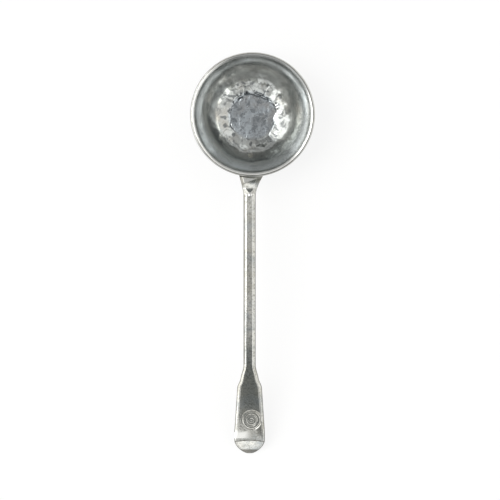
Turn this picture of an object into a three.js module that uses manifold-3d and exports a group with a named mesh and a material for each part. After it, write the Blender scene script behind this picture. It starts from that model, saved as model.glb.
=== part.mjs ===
// Pewter soup ladle. A spun bowl carries a half-round band under its lip. A cast handle with a
// fiddle-shaped end springs from the bowl's wall below the band, over a drop that stiffens the
// wall, and a bead of solder runs round the joint.
// Millimetres, +Z up through the mouth of the bowl. The origin is the centre of the bowl's flat
// base, and the handle runs towards -Y. The ladle lies on its base and on the handle's tip.

import * as THREE from 'three';
import { mergeVertices } from 'three/addons/utils/BufferGeometryUtils.js';
import Module from 'manifold-3d';

const wasm = await Module();
wasm.setup();

const { degToRad, lerp, clamp, smoothstep } = THREE.MathUtils;

// Bowl
const mouthDiameter = 94; // inside, at the lip
const bowlDepth = 33; // inside, from the lip to the floor
const bowlWall = 1.6;
const floorDiameter = 34; // flat middle of the floor, and the flat base under it
const kneeRadius = 7; // inside, where the floor turns up into the side
const kneeAngle = degToRad(24); // how far the knee turns before the side takes over
const lipEase = 0.3; // chamfer on the lip's two edges

// Rim band
const bandHeight = 3;
const bandProjection = 1.5; // how far it stands out from the wall
const bandDrop = 1.2; // from the lip down to its upper edge

// Joints
const solderGap = 0.3; // room for solder between two pieces
const beadRadius = 1.5;
const beadSpread = 0.6; // from the neck's skin out to the middle of the bead
const dropLength = 21;
const dropWidth = 12.5;
const dropRise = 2.1; // how far it swells from the wall
const dropOverlap = 5; // the stretch of the drop that runs up under the foot

// Handle, seen from above
const overallLength = 321; // from the band's far side to the tip
const handleOffset = -2.4; // centre line, to one side of the bowl's centre
const neckLength = 9.3; // from the band out to the ridge across the neck
const neckWidth = 16;
const neckFlat = 10.8; // width of the neck's upper face at the band
const ridgeFlat = 6.6; // and at the ridge
const flareCurve = 1.2; // hollow of the neck's flare: 1 is a straight taper
const flareLean = 2.4; // how much further the neck flares towards +X than towards -X
const stopLength = 3.6; // the pointed facet past the ridge
const stopFlat = 0.9; // its width at the point
const stripLead = 1.3; // from that point to the full strip
const pipDiameter = 3.4; // round pip at the head of the strip
const pipRise = 0.5;
const pipRoot = 1.2; // how deep it is set in the strip
const shankWidth = 9.7;
const shankBevel = 2.7; // width of each bevel along the shank
const waistWidth = 14.4; // where the shank has spread, under the shoulders
const waistLength = 11.5;
const shoulderWidth = 19.8;
const shoulderLength = 7;
const shoulderOverlap = 1.5; // the shoulders start inside the waist
const fiddleLength = 52.5; // from the shoulders to the tip
const fiddleWidth = 24.4;
const swellLength = 35; // from the shoulders to the widest place
const fiddleBevel = 1.5; // width of each bevel near the end
const endLength = 10.4; // rounded end, and the facet across it
const endCurve = 1.65; // 2 is half an ellipse, and less is more pointed
const endReach = 0.97; // the share of that curve that is left where the tip is cut square

// Handle, seen from the side
const neckClearance = 0.6; // the neck's upper face passes this far below the band
const neckRise = degToRad(30);
const stopDip = degToRad(12); // the pointed facet falls away from the ridge
const archRise = degToRad(10); // the arch's slope where the strip starts
const turnLength = 8; // the stretch before the facet that turns down
const turnDrop = 0.8; // how far it turns down from the arch
const facetAngle = degToRad(42);
const tipEdge = 1.6; // height of the edge at the tip
const neckThickness = 5;
const shankThickness = 4.4;
const fiddleThickness = 3.3;
const thinningLength = 30; // the neck's thickness runs out over this length
const bevelAngle = degToRad(31);
const edgeShare = 0.24; // the share of the thickness that the upright edge takes
const backCurve = 2.5; // 2 is a round back, and more is a flatter one
const backBlend = 1.5; // rounds the crease where the neck's back meets the arch's

// Smoothness
const bowlSegments = 72;
const kneeSteps = 4;
const sideSteps = 12;
const bandSteps = 7;
const backSteps = 8;
const neckSteps = 8;
const stopSteps = 2;
const shankSteps = 22;
const shoulderSteps = 14;
const fiddleSteps = 8;
const turnSteps = 4;
const endSteps = 9;
const dropSegments = 26;
const dropRings = 16;
const beadSteps = 44;
const beadSides = 8;
const pipSegments = 28;
const pipSteps = 5;

// The bowl's wall. The knee's arc is tangent to the flat floor, and the side's arc runs on from
// the knee without a corner and ends at the lip.
const floorRadius = floorDiameter / 2;
const bowlHeight = bowlWall + bowlDepth;
const knee = new THREE.Vector2(floorRadius, bowlWall + kneeRadius);
const kneeEnd = new THREE.Vector2(Math.sin(kneeAngle), -Math.cos(kneeAngle));
const sideRadius = tangentRadius();
const side = knee.clone().addScaledVector(kneeEnd, kneeRadius - sideRadius);

// The radius of the side's arc, from the knee's end and the inner edge of the lip
function tangentRadius() {
  const toLip = new THREE.Vector2(mouthDiameter / 2, bowlHeight).sub(knee);
  const along = toLip.dot(kneeEnd);
  return (2 * kneeRadius * along - toLip.lengthSq() - kneeRadius ** 2) / (2 * (along - kneeRadius));
}

// How far from the bowl's axis its wall is at a height, at a distance outside the inner face
function wallRadius(height, offset) {
  return side.x + Math.sqrt((sideRadius + offset) ** 2 - (side.y - height) ** 2);
}

// The wall's line from the axis to a height, at a distance outside the inner face
function wallLine(offset, height) {
  const start = -Math.PI / 2;
  const end = start + Math.acos((side.y - height) / (sideRadius + offset));
  const kneeLine = arc(knee, kneeRadius + offset, start, start + kneeAngle, kneeSteps);
  const sideLine = arc(side, sideRadius + offset, start + kneeAngle, end, sideSteps);
  return [new THREE.Vector2(0, bowlWall - offset), ...kneeLine, ...sideLine.slice(1)];
}

function arc(centre, radius, start, end, steps) {
  return new THREE.EllipseCurve(centre.x, centre.y, radius, radius, start, end).getPoints(steps);
}

// Handle stations, as distances from the bowl's axis
const bandMiddle = bowlHeight - bandDrop - bandHeight / 2;
const bandBottom = bandMiddle - bandHeight / 2;
const bandRadius = wallRadius(bandMiddle, bowlWall + solderGap) + bandProjection;
const ridgeAt = bandRadius + neckLength;
const stopAt = ridgeAt + stopLength;
const stripAt = stopAt + stripLead;
const tipAt = overallLength - bandRadius;
const endAt = tipAt - endLength;
const turnAt = endAt - turnLength;
const fiddleAt = tipAt - fiddleLength;
const waistAt = fiddleAt - shoulderLength;
const spreadAt = waistAt - waistLength;
const swellAt = fiddleAt + swellLength;
const footAt = floorRadius * 2; // inside the bowl, so that the cut to the wall trims it

// Handle heights. The arch is the one circle that starts at the strip with its own slope and
// brings the tip down level with the bowl's base.
const ridgeHeight = bandBottom - neckClearance + neckLength * Math.tan(neckRise);
const stopHeight = ridgeHeight - stopLength * Math.tan(stopDip);
const endHeight = tipEdge + endLength * Math.tan(facetAngle);
const archRadius = archThrough(endAt - stopAt, stopHeight - endHeight - turnDrop);
const archCentre = new THREE.Vector2(
  stopAt + archRadius * Math.sin(archRise),
  stopHeight - archRadius * Math.cos(archRise),
);

function archThrough(run, fall) {
  return (run ** 2 + fall ** 2) / (2 * (fall * Math.cos(archRise) + run * Math.sin(archRise)));
}

function archHeight(at) {
  const turned = clamp((at - turnAt) / turnLength, 0, 1);
  return archCentre.y + Math.sqrt(archRadius ** 2 - (at - archCentre.x) ** 2) - turnDrop * turned ** 2;
}

function neckHeight(at) {
  return ridgeHeight - (ridgeAt - at) * Math.tan(neckRise);
}

function topHeight(at) {
  if (at <= ridgeAt) return neckHeight(at);
  if (at <= stopAt) return lerp(ridgeHeight, stopHeight, (at - ridgeAt) / stopLength);
  if (at <= endAt) return archHeight(at);
  return lerp(endHeight, tipEdge, (at - endAt) / endLength);
}

function thickness(at) {
  const past = smoothstep(at, stopAt, stopAt + thinningLength);
  const thin = smoothstep(at, spreadAt, fiddleAt);
  return lerp(lerp(neckThickness, shankThickness, past), fiddleThickness, thin);
}

// Height of the back, with the thickness measured square to the slope
function backHeight(at) {
  if (at > endAt) {
    const left = (tipAt - at) / endLength;
    return topHeight(at) - lerp(tipEdge, topHeight(endAt) - backHeight(endAt), left);
  }
  const level = Math.sqrt(1 - ((at - archCentre.x) / archRadius) ** 2);
  const arch = archHeight(at) - thickness(at) / level;
  const neck = neckHeight(at) - neckThickness / Math.cos(neckRise);
  const near = Math.max(backBlend - Math.abs(arch - neck), 0) / backBlend;
  return Math.min(arch, neck) - (near ** 2 * backBlend) / 4;
}

// How far the neck has flared: 0 at the strip, 1 at the band, and more inside it
function flareAt(at) {
  return Math.max(0, (stripAt - at) / (stripAt - bandRadius));
}

// Half the handle's width, without the rounding of the end
function halfWidth(at) {
  const flare = flareAt(at) ** flareCurve;
  const spread = smoothstep(at, spreadAt, waistAt);
  const shoulder = smoothstep(at, waistAt - shoulderOverlap, fiddleAt);
  const swell = clamp((at - fiddleAt) / (swellAt - fiddleAt), 0, 1);
  const width = shankWidth + (neckWidth - shankWidth) * flare + (waistWidth - shankWidth) * spread
    + (shoulderWidth - waistWidth) * shoulder + (fiddleWidth - shoulderWidth) * swell;
  return width / 2;
}

function endRounding(at) {
  const round = clamp((at - endAt) / endLength, 0, 1) * endReach;
  return (1 - round ** endCurve) ** (1 / endCurve);
}

function bevelWidth(at) {
  return lerp(shankBevel, fiddleBevel, clamp((at - spreadAt) / (endAt - spreadAt), 0, 1));
}

// Half the width of the level face on top: a trapezium on the neck, a pointed facet, a strip
function halfFlat(at) {
  if (at <= ridgeAt) return lerp(neckFlat, ridgeFlat, (at - bandRadius) / neckLength) / 2;
  if (at <= stopAt) return lerp(ridgeFlat, stopFlat, (at - ridgeAt) / stopLength) / 2;
  const strip = halfWidth(at) - bevelWidth(at);
  return lerp(stopFlat / 2, strip, clamp((at - stopAt) / stripLead, 0, 1));
}

// One upright section of the handle, grown on all sides by a clearance
function handleSection(at, grow) {
  const rounding = endRounding(at);
  const half = halfWidth(at) * rounding + grow;
  const wideHalf = half + flareLean * Math.min(flareAt(at), 1) ** 2;
  const flat = halfFlat(at) * rounding + grow * Math.tan(bevelAngle / 2);
  const top = topHeight(at) + grow;
  const back = backHeight(at) - grow;
  const shoulder = top - bevelWidth(at) * Math.tan(bevelAngle) * rounding;
  const edge = shoulder - (top - back) * edgeShare;
  const outline = [[wideHalf, shoulder], [flat, top], [-flat, top], [-half, shoulder]];
  for (let step = 0; step <= backSteps; step++) {
    const angle = (Math.PI * step) / backSteps;
    const across = -Math.sign(Math.cos(angle)) * Math.abs(Math.cos(angle)) ** (2 / backCurve);
    const down = Math.sin(angle) ** (2 / backCurve);
    outline.push([(across < 0 ? half : wideHalf) * across, edge - (edge - back) * down]);
  }
  return outline.map(([across, height]) => new THREE.Vector3(handleOffset + across, -at, height));
}

function between(start, end, steps) {
  return Array.from({ length: steps }, (_, step) => lerp(start, end, step / steps));
}

function handleBlank(grow) {
  const endSweep = Math.asin(endReach);
  const stations = [
    ...between(footAt, ridgeAt, neckSteps),
    ...between(ridgeAt, stopAt, stopSteps),
    ...between(stopAt, stripAt, stopSteps),
    ...between(stripAt, spreadAt, shankSteps),
    ...between(spreadAt, fiddleAt, shoulderSteps),
    ...between(fiddleAt, turnAt, fiddleSteps),
    ...between(turnAt, endAt, turnSteps),
    ...between(0, endSweep, endSteps).map((angle) => endAt + (endLength * Math.sin(angle)) / endReach),
    tipAt,
  ];
  return solid(loft(stations.map((at) => handleSection(at, grow))));
}

// A closed skin through outlines with the same number of corners, each of them anticlockwise
// when seen from the end that the row runs to
function loft(outlines, closed = false) {
  const corners = outlines[0].length;
  const spans = closed ? outlines.length : outlines.length - 1;
  const faces = [];
  for (let span = 0; span < spans; span++) {
    const here = span * corners;
    const there = ((span + 1) % outlines.length) * corners;
    for (let corner = 0; corner < corners; corner++) {
      const next = (corner + 1) % corners;
      faces.push(here + corner, here + next, there + next);
      faces.push(here + corner, there + next, there + corner);
    }
  }
  if (!closed) {
    const last = (outlines.length - 1) * corners;
    for (let corner = 1; corner < corners - 1; corner++) {
      faces.push(0, corner + 1, corner);
      faces.push(last, last + corner, last + corner + 1);
    }
  }
  const geometry = new THREE.BufferGeometry().setFromPoints(outlines.flat());
  geometry.setIndex(faces);
  return geometry;
}

function revolve(profile) {
  return solid(new THREE.LatheGeometry(profile, bowlSegments).rotateX(Math.PI / 2));
}

// A geometry as a solid: its shared corners are merged, and faces with no area left out
function solid(geometry) {
  geometry.deleteAttribute('normal');
  geometry.deleteAttribute('uv');
  const merged = mergeVertices(geometry);
  const corners = merged.index.array;
  const faces = [];
  for (let face = 0; face < corners.length; face += 3) {
    const [a, b, c] = corners.slice(face, face + 3);
    if (a !== b && b !== c && c !== a) faces.push(a, b, c);
  }
  return new wasm.Manifold(new wasm.Mesh({
    numProp: 3,
    vertProperties: merged.attributes.position.array,
    triVerts: new Uint32Array(faces),
  }));
}

function bowlShell() {
  const inside = wallLine(0, bowlHeight - lipEase);
  const outside = wallLine(bowlWall, bowlHeight - lipEase);
  const lip = [
    new THREE.Vector2(wallRadius(bowlHeight, 0) + lipEase, bowlHeight),
    new THREE.Vector2(wallRadius(bowlHeight, bowlWall) - lipEase, bowlHeight),
  ];
  return revolve([...outside, ...lip.reverse(), ...inside.reverse()]);
}

// Everything inside the bowl's outer face, grown by a clearance and open above the lip
function bowlEnvelope(grow) {
  const outside = wallLine(bowlWall + grow, bowlHeight);
  const above = bowlHeight + bowlDepth;
  const brim = new THREE.Vector2(outside.at(-1).x, above);
  return revolve([...outside, brim, new THREE.Vector2(0, above)]);
}

function rimBand(grow) {
  const profile = [];
  for (let step = 0; step <= bandSteps; step++) {
    const angle = Math.PI * (step / bandSteps - 1 / 2);
    const height = bandMiddle + (bandHeight / 2 + grow) * Math.sin(angle);
    const out = wallRadius(height, bowlWall + solderGap) + (bandProjection + grow) * Math.cos(angle);
    profile.push(new THREE.Vector2(out, height));
  }
  return revolve([...profile, profile[0]]);
}

// A round stud with a domed head, set square to the strip
function pip() {
  const dome = new THREE.EllipseCurve(0, 0, pipDiameter / 2, pipRise, 0, Math.PI / 2).getPoints(pipSteps);
  const root = new THREE.Vector2(pipDiameter / 2, -pipRoot);
  const stud = new THREE.LatheGeometry([new THREE.Vector2(0, -pipRoot), root, ...dome], pipSegments);
  stud.rotateX(Math.PI / 2 - archRise);
  stud.translate(handleOffset, -stripAt, topHeight(stripAt));
  return solid(stud);
}

// The casting, with its foot cut to the bowl's wall
function handle() {
  return handleBlank(0).add(pip()).subtract(bowlEnvelope(solderGap)).subtract(rimBand(solderGap));
}

// Where the foot's lower corner meets the wall, as an angle round the side's arc
function footAngle() {
  const out = meetsWall((at) => new THREE.Vector3(0, -at, backHeight(at)));
  return Math.atan2(-out.y - side.x, side.y - out.z);
}

// Follows a line that leaves the bowl, given by its distance from the axis, to the bowl's wall
function meetsWall(line) {
  let [inside, outside] = [footAt, ridgeAt];
  for (let halving = 0; halving < 40; halving++) {
    const middle = (inside + outside) / 2;
    const point = line(middle);
    const isInside = Math.hypot(point.x, point.y) < wallRadius(point.z, bowlWall + solderGap);
    if (isInside) inside = middle;
    else outside = middle;
  }
  return line(inside);
}

// A pillow on the wall that runs up under the foot, grown on all sides by a clearance
function dropBlank(grow) {
  const pillow = new THREE.SphereGeometry(1, dropSegments, dropRings);
  pillow.scale(dropWidth / 2 + grow, dropLength / 2 + grow, dropRise + solderGap + grow);
  const radius = sideRadius + bowlWall;
  const angle = footAngle() - (dropLength / 2 - dropOverlap) / radius;
  pillow.rotateX(Math.PI - angle);
  const out = side.x + radius * Math.sin(angle);
  pillow.translate(handleOffset, -out, side.y - radius * Math.cos(angle));
  return solid(pillow);
}

function drop() {
  return dropBlank(0).subtract(bowlEnvelope(solderGap)).subtract(handleBlank(solderGap));
}

// The bead follows the line where the neck, grown a little, comes out of the bowl's wall
function solderBead() {
  const corners = handleSection(ridgeAt, 0).length;
  const route = Array.from({ length: corners }, (_, corner) =>
    meetsWall((at) => handleSection(at, beadSpread)[corner]));
  const path = new THREE.CatmullRomCurve3(route, true, 'centripetal');
  const frames = path.computeFrenetFrames(beadSteps, true);
  const outlines = between(0, 1, beadSteps).map((along, step) => {
    const centre = path.getPointAt(along);
    return between(0, 2 * Math.PI, beadSides).map((angle) => centre.clone()
      .addScaledVector(frames.normals[step], beadRadius * Math.cos(angle))
      .addScaledVector(frames.binormals[step], beadRadius * Math.sin(angle)));
  });
  return solid(loft(outlines, true)).subtract(bowlEnvelope(solderGap)).subtract(rimBand(solderGap))
    .subtract(handleBlank(solderGap)).subtract(dropBlank(solderGap));
}

function piece(name, body, color, roughness) {
  const { vertProperties, triVerts } = body.getMesh();
  const geometry = new THREE.BufferGeometry();
  geometry.setAttribute('position', new THREE.BufferAttribute(vertProperties, 3));
  geometry.setIndex(new THREE.BufferAttribute(triVerts, 1));
  geometry.computeVertexNormals();
  const material = new THREE.MeshStandardMaterial({ color, roughness, metalness: 1 });
  const mesh = new THREE.Mesh(geometry, material);
  mesh.name = name;
  return mesh;
}

const ladle = new THREE.Group();
ladle.add(
  piece('bowl', bowlShell(), 0x8b8f90, 0.35),
  piece('rim_band', rimBand(0), 0xa9aaa6, 0.3),
  piece('handle', handle(), 0x9c9c96, 0.32),
  piece('drop', drop(), 0x8e8f8c, 0.4),
  piece('solder_bead', solderBead(), 0xb4b3ac, 0.3),
);

export default ladle;
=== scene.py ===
from math import acos, asin, cos, exp, hypot, pi, radians, sin, sqrt, tan

import bmesh
import bpy
from mathutils import Matrix, Vector, noise


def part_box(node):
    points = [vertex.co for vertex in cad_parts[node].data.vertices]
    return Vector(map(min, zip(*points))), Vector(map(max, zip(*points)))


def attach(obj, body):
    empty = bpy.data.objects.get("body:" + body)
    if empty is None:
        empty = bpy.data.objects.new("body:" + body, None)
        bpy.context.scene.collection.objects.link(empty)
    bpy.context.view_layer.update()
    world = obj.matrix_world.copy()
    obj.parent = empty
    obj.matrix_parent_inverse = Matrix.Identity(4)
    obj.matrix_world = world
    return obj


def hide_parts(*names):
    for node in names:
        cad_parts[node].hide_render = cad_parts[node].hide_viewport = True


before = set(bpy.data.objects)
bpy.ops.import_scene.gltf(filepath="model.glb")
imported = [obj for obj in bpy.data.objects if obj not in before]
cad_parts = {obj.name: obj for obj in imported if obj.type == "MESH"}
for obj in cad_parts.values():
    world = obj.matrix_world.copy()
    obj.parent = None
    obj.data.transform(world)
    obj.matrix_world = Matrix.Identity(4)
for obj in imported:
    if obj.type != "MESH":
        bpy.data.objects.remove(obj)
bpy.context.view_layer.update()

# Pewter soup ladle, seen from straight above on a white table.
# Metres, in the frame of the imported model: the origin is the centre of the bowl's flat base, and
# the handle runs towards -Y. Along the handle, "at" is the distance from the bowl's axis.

MM = 0.001

# Photograph
PHOTO_PIXELS = 500
PIXEL = 0.8 * MM  # what one pixel of the photograph covers
BOWL_PIXEL = (252.6, 114.75)  # where the photograph has the bowl's centre
SENSOR = 36.0
CAMERA_HEIGHT = 6.0
MIDDLE_HEIGHT = 20 * MM  # the height at which a pixel covers PIXEL

# Bowl
BOWL_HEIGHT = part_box("bowl")[1].z
MOUTH_RADIUS = 47 * MM
WALL = 1.6 * MM
FLOOR_RADIUS = 17 * MM
KNEE_RADIUS = 7 * MM
KNEE_ANGLE = radians(24)
KNEE_END_RADIUS = FLOOR_RADIUS + KNEE_RADIUS * sin(KNEE_ANGLE)
LIP_RISE = 0.6 * MM
LIP_CURVE = 1.25  # 2 is a round lip, and less is a ridged one
LIP_SKEW = 0.3 * MM  # its ridge stands this much outside its middle
RIM_SWAY = 0.25 * MM  # how far the rim strays from round
SIDE_WAVES = 0.05 * MM  # how uneven the side is

# Hammering: a rough disc in the middle of the floor, a crevice, and a ring of dents round them
HAMMERED_RADIUS = 28.5 * MM
UNTOUCHED_RADIUS = MOUTH_RADIUS - 3 * MM  # beyond this nothing is hammered
DISC_RADIUS = FLOOR_RADIUS + 1.2 * MM
DISC_SHIFT = 1.8 * MM  # the disc lies this much nearer the handle
STRAY_WIDE = 2.2 * MM  # how far the ring strays from round, in wide lobes
STRAY_NARROW = 1.3 * MM  # and in narrow ones
STRAY_STARTS = 8 * MM  # the straying starts here
STRAY_FULL = 15 * MM
STRAY_FADES = 20 * MM  # and the lobes fade from here
STRAY_ENDS = HAMMERED_RADIUS + 8 * MM
DENT_SPACING = 6.4 * MM
DENT_RISE = 0.6 * MM  # how far a dent rises at one spacing from its middle
SEAM_SHARE = 0.13  # width of the seams between dents, as a share of DENT_SPACING
SEAM_DEPTH = 0.17 * MM
RING_DEPTH = 0.1 * MM
CREVICE_DEPTH = 0.22 * MM
CREVICE_OUTER = 1.1 * MM  # its width outwards from the disc's edge
CREVICE_INNER = 1.0 * MM  # and inwards
CREVICE_RAGGED = 4.5 * MM  # but at most this on the side away from the handle
CREASE_DEPTH = 0.04 * MM

# Rim band
BAND_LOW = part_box("rim_band")[0].z
BAND_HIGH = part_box("rim_band")[1].z
BAND_MIDDLE = (BAND_LOW + BAND_HIGH) / 2
BAND_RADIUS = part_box("rim_band")[1].x
BAND_SUNK = 0.15 * MM
BAND_SWAY = 0.04 * MM
BAND_INSET = 0.08 * MM  # keeps the swaying band inside its packed size

# Handle, seen from above
TIP_AT = -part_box("handle")[0].y
HANDLE_X = -2.4 * MM
NECK_LENGTH = 9.3 * MM
NECK_WIDTH = 16 * MM
NECK_FLAT = 10.8 * MM
RIDGE_FLAT = 6.6 * MM
FLARE_CURVE = 1.2
FLARE_LEAN = 2.4 * MM
STOP_LENGTH = 3.6 * MM
STOP_FLAT = 0.9 * MM
STRIP_LEAD = 1.3 * MM
PIP_X = 0.4 * MM
PIP_RADIUS = 1.7 * MM
PIP_RISE = 0.4 * MM
PIP_ROOT = 0.8 * MM
SHANK_WIDTH = 9.7 * MM
SHANK_BEVEL = 2.7 * MM
WAIST_WIDTH = 14.4 * MM
WAIST_LENGTH = 11.5 * MM
SHOULDER_WIDTH = 19.8 * MM
SHOULDER_LENGTH = 7 * MM
SHOULDER_OVERLAP = 1.5 * MM
FIDDLE_LENGTH = 52.5 * MM
FIDDLE_WIDTH = 24.4 * MM
SWELL_LENGTH = 35 * MM
FIDDLE_BEVEL = 1.5 * MM
END_LENGTH = 10.4 * MM
END_CURVE = 1.65
END_REACH = 0.97

# Handle, seen from the side
NECK_CLEARANCE = 0.6 * MM
NECK_RISE = radians(30)
NECK_FACE_RISE = radians(36)  # the face is filed a little steeper, from the ridge down
FILLET_LENGTH = 3.6 * MM
FILLET_SLANT = 0.32
FILLET_SOFTNESS = 0.3 * MM
FILLET_RISE = radians(15)
FILLET_FADE = 2.5 * MM  # the fillet ends this far under the band
FOOT_SUNK = 0.1 * MM
STOP_DIP = radians(12)
ARCH_RISE = radians(10)
TURN_LENGTH = 8 * MM
TURN_DROP = 0.8 * MM
FACET_ANGLE = radians(42)
TIP_EDGE = 1.6 * MM
NECK_THICKNESS = 5 * MM
SHANK_THICKNESS = 4.4 * MM
FIDDLE_THICKNESS = 3.3 * MM
THINNING_LENGTH = 30 * MM
BEVEL_ANGLE = radians(31)
EDGE_SHARE = 0.24
BACK_CURVE = 2.5
BACK_BLEND = 1.5 * MM

# Softness that use has given the handle, and what the file has left uneven
CREASE_CUT = 0.18 * MM
FIDDLE_CREASE_CUT = 0.45 * MM
EDGE_CUT = 0.55 * MM
MOST_CUT = 0.45  # a cut takes no more than this share of a side
LEFT_CREASE = 0.6 * MM  # the shank's left bevel is this much narrower than its right one
FIDDLE_LEFT_CREASE = 0.2 * MM
LEFT_CREASE_LEAD = 4 * MM
RIDGE_SOFTNESS = 0.25 * MM
TIP_WORN = 1.1 * MM
TIP_WEAR_LENGTH = 3 * MM
FACET_BOW = 1.4 * MM  # the facet's upper edge is this much nearer the tip at its ends
SHANK_CROWN = 0.025  # share of half its width that the face falls from its middle to its sides
FIDDLE_CROWN = 0.075
CROWN_CURVE = 3
WAVE_DEPTH = 0.05 * MM  # how uneven the file has left the shank and the fiddle
WAVE_SPACING = 9 * MM
WAVE_ACROSS = 0.5  # makes the waves twice as wide as they are long
WAVE_LEAD = 10 * MM
WAVE_TAIL = 6 * MM

# Ring punch on the fiddle end. Each ring has its radius, width and depth.
PUNCH_AT = 244.2 * MM
PUNCH_X = -0.9 * MM
PUNCH_REACH = 10 * MM
PUNCH_RINGS = (
    (7.4 * MM, 0.5 * MM, 0.27 * MM),
    (4.3 * MM, 0.4 * MM, 0.18 * MM),
    (0.9 * MM, 0.5 * MM, 0.14 * MM),
)
PUNCH_TILT = 0.35  # share that it is deeper towards +X and the tip, and shallower opposite
BURR_SHARE = 0.3  # height of the burr beside a ring, as a share of the ring's depth
BURR_PLACE = 1.7  # its distance from the ring, in ring widths
BURR_SHARPNESS = 2

# Drop
DROP_LENGTH = 21 * MM
DROP_WIDTH = 12.5 * MM
DROP_RISE = 2.1 * MM
DROP_OVERLAP = 5 * MM

# Solder bead
BEAD_LEG = 1.5 * MM
BEAD_SAG = 0.4
BEAD_LIFT = 0.02 * MM
BEAD_SUNK = 0.3 * MM
BEAD_LUMPS = 0.35
LUMP_SPACING = 2.5 * MM

# Wear and soil, and the painted shade and painted light that use their colours. Their strengths are shares
# of a full polish or a full grey skin.
WEAR_REACH = 0.9 * MM  # a ball of this radius is fully worn, and a pit like it fully soiled
SKIN = 0.45  # on the outside of the bowl and underneath
SKIN_TOP = 0.4  # how much of the handle's thickness has this skin
LIP_ZONE = 1.2 * MM
# Painted shade on the lip, darkest on its side towards +Y
LIP_SHADE = 0.55
LIP_SHADE_TOWARDS = Vector((0.42, 0.91, 0))
# Painted shade on the bowl's side, which darkens its reflections all round, most on the left and towards +Y
SIDE_SHADE_RADII = (28.5 * MM, 30.5 * MM, 34 * MM, 38 * MM)  # painted shade on the side: it starts, is full, fades and ends
SIDE_SHADE_ALL_ROUND = 0.12
SIDE_SHADE_LEFT = 0.85
SIDE_SHADE_TOP = 0.4
PIT_SOIL = 0.75
SEAM_SOIL = 0.7
CREASE_SOIL = 0.4
BAND_GROOVE = 1.1 * MM  # the band's soiled groove is this far in from its outer edge
BAND_CROWN = 0.7 * MM  # its clean crown is this far in
BAND_SKIRT = 0.3 * MM  # and its outer side has painted shade from here
BAND_SIDE_SHADE = 0.35
BAND_LEFT_SHADE = 0.45  # painted shade that its left side has more
# Painted shadow on the band by the handle
BAND_HANDLE_SHADOW = 0.4
# Painted shade: a dark outline along the handle's upper edges
EDGE_SHADE = 0.75
EDGE_SHADE_WIDTH = 0.8 * MM
LEFT_EDGE_SHADE_WIDTH = 1.2 * MM
SHADE_FADE = 0.4 * MM
FACET_SHADE_LINE = 0.35 * MM  # the painted dark line is this far from the facet's upper edge
# Painted shade on the tip's end
TIP_SHADE = 0.7
NECK_TRACE = 0.01  # soil that is all over the neck
# Painted shade on the neck's edges and its sides near the bowl, and painted light on the fillet of its face
NECK_EDGE_SHADE = 0.4
NECK_LEFT_SHADE = 0.75
NECK_RIGHT_SHADE = 0.2
NECK_SHADE_FADE = 5 * MM
FILLET_PAINTED_LIGHT = 0.6
PIP_SOIL = 0.5
PIP_SOIL_GAP = 0.15 * MM
PIP_POLISH = 0.8
HIGHLIGHT_AT = 257.5 * MM  # a painted highlight brightens the left of the face there


def clamp(value, low=0.0, high=1.0):
    return max(low, min(high, value))


def lerp(a, b, share):
    return a + (b - a) * share


def smooth(value, start, end):
    share = clamp((value - start) / (end - start))
    return share * share * (3 - 2 * share)


def ripple(place, spacing, shift=(0, 0, 0)):
    """Soft noise from about -1 to 1, with its hills about one spacing wide."""
    return noise.noise(place / spacing + Vector(shift))


# Bowl's wall: a flat floor, the knee's arc and the side's arc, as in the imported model

KNEE = Vector((FLOOR_RADIUS, WALL + KNEE_RADIUS))
KNEE_END = Vector((sin(KNEE_ANGLE), -cos(KNEE_ANGLE)))
TO_LIP = Vector((MOUTH_RADIUS, BOWL_HEIGHT)) - KNEE
ALONG = TO_LIP.dot(KNEE_END)
SIDE_RADIUS = (2 * KNEE_RADIUS * ALONG - TO_LIP.length_squared - KNEE_RADIUS**2) / 2 / (ALONG - KNEE_RADIUS)
SIDE = KNEE + KNEE_END * (KNEE_RADIUS - SIDE_RADIUS)


def wall_radius(height, offset):
    """How far from the axis the wall is at a height, offset outside its inner face."""
    return SIDE.x + sqrt((SIDE_RADIUS + offset) ** 2 - (SIDE.y - height) ** 2)


def wall_point(turn, offset):
    """The wall's radius and height where it has turned up by an angle."""
    centre, radius = (KNEE, KNEE_RADIUS) if turn < KNEE_ANGLE else (SIDE, SIDE_RADIUS)
    return centre + Vector((sin(turn), -cos(turn))) * (radius + offset)


def turn_at(height, offset):
    return acos((SIDE.y - height) / (SIDE_RADIUS + offset))


# Handle's places and heights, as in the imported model

RIDGE_AT = BAND_RADIUS + NECK_LENGTH
STOP_AT = RIDGE_AT + STOP_LENGTH
STRIP_AT = STOP_AT + STRIP_LEAD
END_AT = TIP_AT - END_LENGTH
TURN_AT = END_AT - TURN_LENGTH
FIDDLE_AT = TIP_AT - FIDDLE_LENGTH
WAIST_AT = FIDDLE_AT - SHOULDER_LENGTH
SPREAD_AT = WAIST_AT - WAIST_LENGTH
RIDGE_HEIGHT = BAND_LOW - NECK_CLEARANCE + NECK_LENGTH * tan(NECK_RISE)
STOP_HEIGHT = RIDGE_HEIGHT - STOP_LENGTH * tan(STOP_DIP)
END_HEIGHT = TIP_EDGE + END_LENGTH * tan(FACET_ANGLE)
ARCH_RUN = END_AT - STOP_AT
ARCH_FALL = STOP_HEIGHT - END_HEIGHT - TURN_DROP
ARCH_RADIUS = (ARCH_RUN**2 + ARCH_FALL**2) / (2 * (ARCH_FALL * cos(ARCH_RISE) + ARCH_RUN * sin(ARCH_RISE)))
ARCH = Vector((STOP_AT + ARCH_RADIUS * sin(ARCH_RISE), STOP_HEIGHT - ARCH_RADIUS * cos(ARCH_RISE)))


def arch_height(at):
    turned = clamp((at - TURN_AT) / TURN_LENGTH)
    return ARCH.y + sqrt(ARCH_RADIUS**2 - (at - ARCH.x) ** 2) - TURN_DROP * turned**2


def neck_height(at):
    return RIDGE_HEIGHT - (RIDGE_AT - at) * tan(NECK_FACE_RISE)


def fillet_crease(x):
    """Where the neck's face turns up to the wall, along a slanting crease."""
    return BAND_RADIUS + FILLET_LENGTH - FILLET_SLANT * x


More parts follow.
